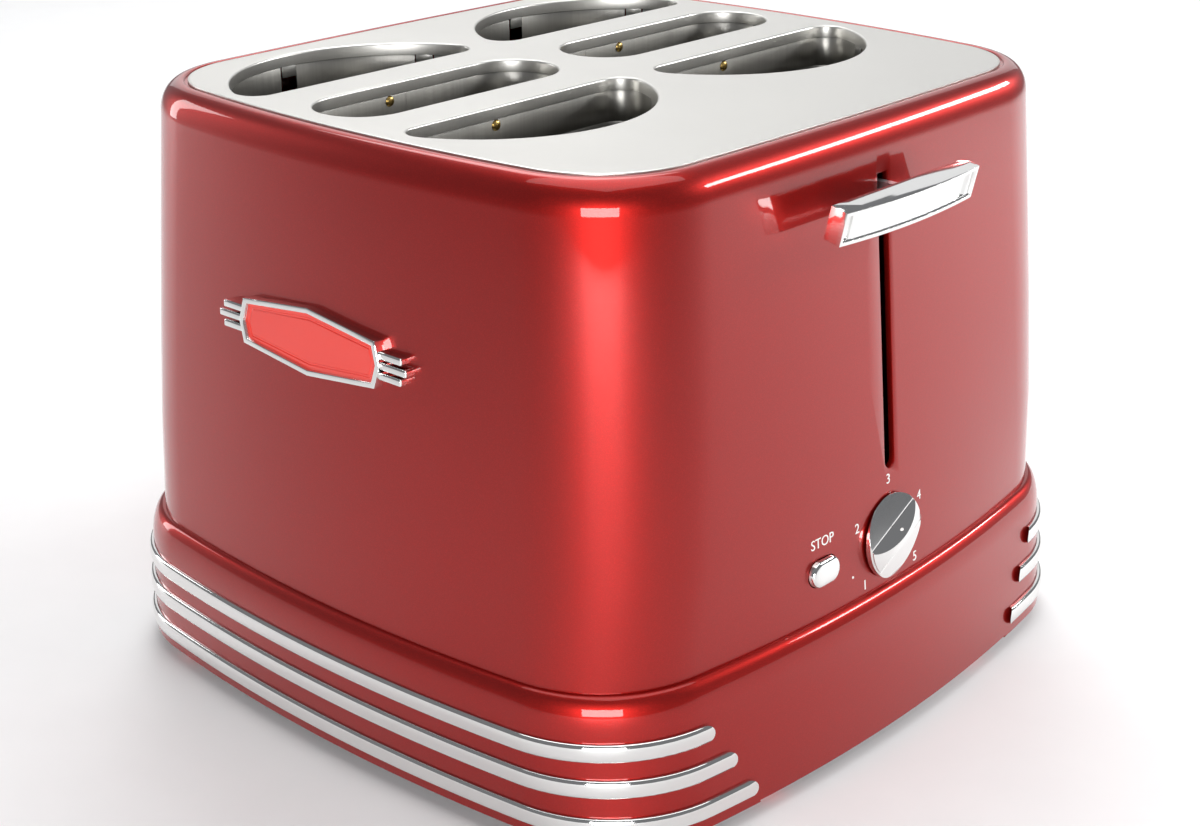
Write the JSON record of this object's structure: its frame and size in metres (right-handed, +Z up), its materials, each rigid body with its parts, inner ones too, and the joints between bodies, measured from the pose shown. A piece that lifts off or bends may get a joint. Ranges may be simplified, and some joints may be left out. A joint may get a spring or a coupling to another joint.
{
  "type": "hot dog toaster",
  "caption": "Retro pop-up toaster for hot dogs and buns: red enamel housing, brushed steel top with half-round and straight wells, chrome lever, knob and trim.",
  "frame": {"origin": "bottom centre of the feet", "axes": "+Z up, +X out of the lever face, -Y out of the badge face"},
  "size_m": [0.3096, 0.319, 0.237],
  "materials": {
    "red_enamel": "gloss",
    "red_feet": "satin",
    "badge_red": "gloss",
    "brushed_steel": "brushed",
    "chrome": "polished",
    "well_steel": "satin",
    "zinc_sheet": "satin",
    "screw_steel": "satin",
    "brass": "satin",
    "copper_coil": "satin",
    "mica": "matte",
    "heating_wire": "satin",
    "circuit_board": "satin",
    "black_plastic": "matte",
    "black_rubber": "matte"
  },
  "bodies": {
    "base": {"outer_housing": "red_enamel", "top_plate": "brushed_steel", "base_skirt": "red_enamel", "front_strip_upper": "chrome", "front_strip_middle": "chrome", "front_strip_lower": "chrome", "rear_strip_upper": "chrome", "rear_strip_middle": "chrome", "rear_strip_lower": "chrome", "badge_frame": "chrome", "badge_plate": "badge_red", "badge_bars": "chrome", "feet": "red_feet", "bottom_pan": "zinc_sheet", "pan_screws": "screw_steel", "chassis_plate": "zinc_sheet", "frame_screws": "screw_steel", "terminal_rivets": "brass", "mechanism_frame": "zinc_sheet", "guide_rods": "screw_steel", "carriage_spring": "screw_steel", "latch_magnet": "screw_steel", "latch_coil": "copper_coil", "heating_ribbons": "heating_wire", "control_board": "circuit_board", "timer_dial": "black_plastic", "stop_switch": "black_plastic", "cord_bushing": "black_rubber", "bun_well_front_left": "well_steel", "element_board_front_left": "mica", "bun_well_front_right": "well_steel", "element_board_front_right": "mica", "bun_well_back_left": "well_steel", "element_board_back_left": "mica", "bun_well_back_right": "well_steel", "element_board_back_right": "mica", "sausage_well_front": "well_steel", "sausage_well_back": "well_steel"},
    "carriage": {"lever_handle": "chrome", "lever_arm": "zinc_sheet", "carriage": "zinc_sheet", "carriage_bushes": "brass", "carriage_spine": "zinc_sheet", "latch_plate": "screw_steel", "bun_lift_front_left": "well_steel", "bun_lift_front_right": "well_steel", "bun_lift_back_left": "well_steel", "bun_lift_back_right": "well_steel", "sausage_lift_front": "well_steel", "sausage_lift_back": "well_steel"},
    "knob": {"control_knob": "chrome", "knob_shaft": "screw_steel"},
    "stop": {"stop_button": "chrome"},
    "tray": {"crumb_tray": "zinc_sheet", "tray_front": "red_enamel"}
  },
  "joints": [
    {"name": "lever_slide", "type": "slide", "parent": "base", "child": "carriage", "axis": [0, 0, -1], "range_m": [0, 0.092], "stiffness_N_per_m": 40, "springref_m": -0.15, "deforming": ["carriage_spring"]},
    {"name": "knob_turn", "type": "hinge", "parent": "base", "child": "knob", "pos_m": [0.14327, 0.0015, 0.08], "axis": [0.9961, 0, 0.0882], "range_deg": [-66, 198]},
    {"name": "stop_press", "type": "slide", "parent": "base", "child": "stop", "axis": [-0.9961, 0, -0.0882], "range_m": [0, 0.0025], "stiffness_N_per_m": 300, "springref_m": -0.001},
    {"name": "tray_slide", "type": "slide", "parent": "base", "child": "tray", "axis": [-1, 0, 0], "range_m": [0, 0.18]}
  ]
}
